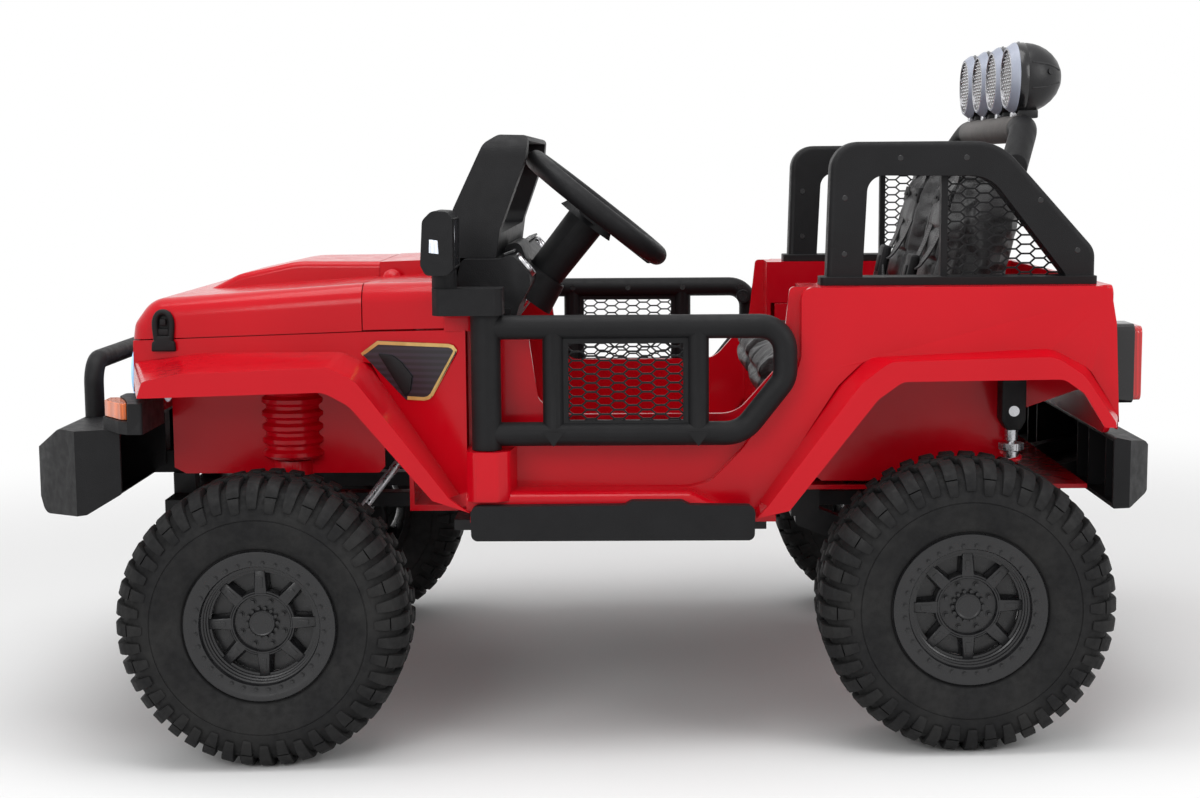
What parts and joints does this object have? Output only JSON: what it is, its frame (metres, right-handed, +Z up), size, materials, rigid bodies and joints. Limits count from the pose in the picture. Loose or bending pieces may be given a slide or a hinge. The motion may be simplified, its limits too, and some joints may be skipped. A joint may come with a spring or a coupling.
{
  "type": "ride-on toy off-road vehicle",
  "caption": "Lifted open-top ride-on toy 4x4 with steering front wheels, tube doors that swing, roll bars, a bull bar, seats and a roof lamp bar.",
  "frame": {"origin": "on the floor under the middle of the vehicle's box", "axes": "+X forward, +Y to the vehicle's left, +Z up"},
  "size_m": [1.4146, 0.88, 0.851],
  "materials": {
    "red_plastic": "glossy moulded plastic, deep red",
    "black_plastic": "fine-grained matte black plastic",
    "black_gloss": "gloss black plastic",
    "black_steel": "black painted steel",
    "bare_steel": "zinc-plated steel",
    "shock_metal": "plated rod and collar with a red spring",
    "battery_case": "plain battery case",
    "tyre_rubber": "matte textured tyre plastic",
    "rim_plastic": "satin black plastic",
    "black_leather": "black artificial leather with double stitching",
    "strap_webbing": "black woven webbing",
    "clear_lens": "clear lamp lens",
    "amber_lens": "amber lamp lens",
    "red_lens": "red lamp lens",
    "lamp_plastic": "matte black lamp case with a pale ring"
  },
  "bodies": {
    "root": {"battery": "battery_case", "body_side_left": "red_plastic", "body_side_right": "red_plastic", "bull_bar": "black_plastic", "chassis": "black_steel", "cockpit_tub": "red_plastic", "cowl": "red_plastic", "dashboard": "black_plastic", "front_axle": "black_steel", "front_bumper": "black_plastic", "front_fender_left": "red_plastic", "front_fender_right": "red_plastic", "grille": "black_plastic", "harnesses": "strap_webbing", "headlamps": "clear_lens", "hood": "red_plastic", "hood_latches": "black_plastic", "inner_fenders_front": "red_plastic", "inner_fenders_rear": "red_plastic", "light_bar": "black_plastic", "mirrors": "black_plastic", "nose_panel": "red_plastic", "rear_axle": "black_steel", "rear_bumper": "black_plastic", "rear_panel": "red_plastic", "roll_bar_left": "black_plastic", "roll_bar_meshes": "black_plastic", "roll_bar_right": "black_plastic", "roof_lamps": "lamp_plastic", "running_boards": "black_plastic", "seat_backs": "black_leather", "seat_cushions": "black_leather", "shocks": "shock_metal", "tail_lamp_housings": "black_gloss", "tail_lamps": "red_lens", "turn_lamp_housings": "black_plastic", "turn_lamps": "amber_lens", "vent_panels": "black_gloss", "windshield_frame": "black_plastic"},
    "steering": {"steering_wheel": "black_plastic", "steering_shaft": "bare_steel"},
    "tie_rod_body": {"tie_rod": "bare_steel"},
    "knuckle_l": {"knuckle_left": "black_plastic"},
    "knuckle_r": {"knuckle_right": "black_plastic"},
    "wheel_front_left": {"tyre_front_left": "tyre_rubber", "rim_front_left": "rim_plastic"},
    "wheel_front_right": {"tyre_front_right": "tyre_rubber", "rim_front_right": "rim_plastic"},
    "wheel_rear_left": {"tyre_rear_left": "tyre_rubber", "rim_rear_left": "rim_plastic"},
    "wheel_rear_right": {"tyre_rear_right": "tyre_rubber", "rim_rear_right": "rim_plastic"},
    "door_l": {"door_left": "black_plastic", "door_mesh_left": "black_plastic"},
    "door_r": {"door_right": "black_plastic", "door_mesh_right": "black_plastic"}
  },
  "joints": [
    {"name": "steering_turn", "type": "hinge", "parent": "root", "child": "steering", "pos_m": [-0.0205, 0.14, 0.65536], "axis": [-0.6374, 0, 0.7705], "range_deg": [-60, 60]},
    {"name": "knuckle_left_turn", "type": "hinge", "parent": "root", "child": "knuckle_l", "pos_m": [0.39004, 0.24, 0.176], "axis": [-0.0209, 0, 0.9998], "range_deg": [-20, 20]},
    {"name": "knuckle_right_turn", "type": "hinge", "parent": "root", "child": "knuckle_r", "pos_m": [0.39004, -0.24, 0.176], "axis": [-0.0209, 0, 0.9998], "range_deg": [-20, 20]},
    {"name": "tie_rod_slide", "type": "slide", "parent": "root", "child": "tie_rod_body", "axis": [0, 1, 0], "range_m": [-0.0176, 0.0176]},
    {"name": "wheel_front_left_spin", "type": "hinge", "parent": "knuckle_l", "child": "wheel_front_left", "pos_m": [0.39004, 0.37, 0.176], "axis": [0, 1, 0], "continuous": true},
    {"name": "wheel_front_right_spin", "type": "hinge", "parent": "knuckle_r", "child": "wheel_front_right", "pos_m": [0.39004, -0.37, 0.176], "axis": [0, 1, 0], "continuous": true},
    {"name": "wheel_rear_left_spin", "type": "hinge", "parent": "root", "child": "wheel_rear_left", "pos_m": [-0.45497, 0.37, 0.176], "axis": [0, 1, 0], "continuous": true},
    {"name": "wheel_rear_right_spin", "type": "hinge", "parent": "root", "child": "wheel_rear_right", "pos_m": [-0.45497, -0.37, 0.176], "axis": [0, 1, 0], "continuous": true},
    {"name": "door_left_swing", "type": "hinge", "parent": "root", "child": "door_l", "pos_m": [0.11376, 0.369, 0.45312], "axis": [0.0209, 0, -0.9998], "range_deg": [0, 70]},
    {"name": "door_right_swing", "type": "hinge", "parent": "root", "child": "door_r", "pos_m": [0.11376, -0.369, 0.45312], "axis": [-0.0209, 0, 0.9998], "range_deg": [0, 70]}
  ],
  "couplings": [
    {"joint": "knuckle_left_turn", "follows": "steering_turn", "ratio": 0.33333},
    {"joint": "knuckle_right_turn", "follows": "steering_turn", "ratio": 0.33333},
    {"joint": "tie_rod_slide", "follows": "steering_turn", "m_per_rad": -0.016667}
  ]
}
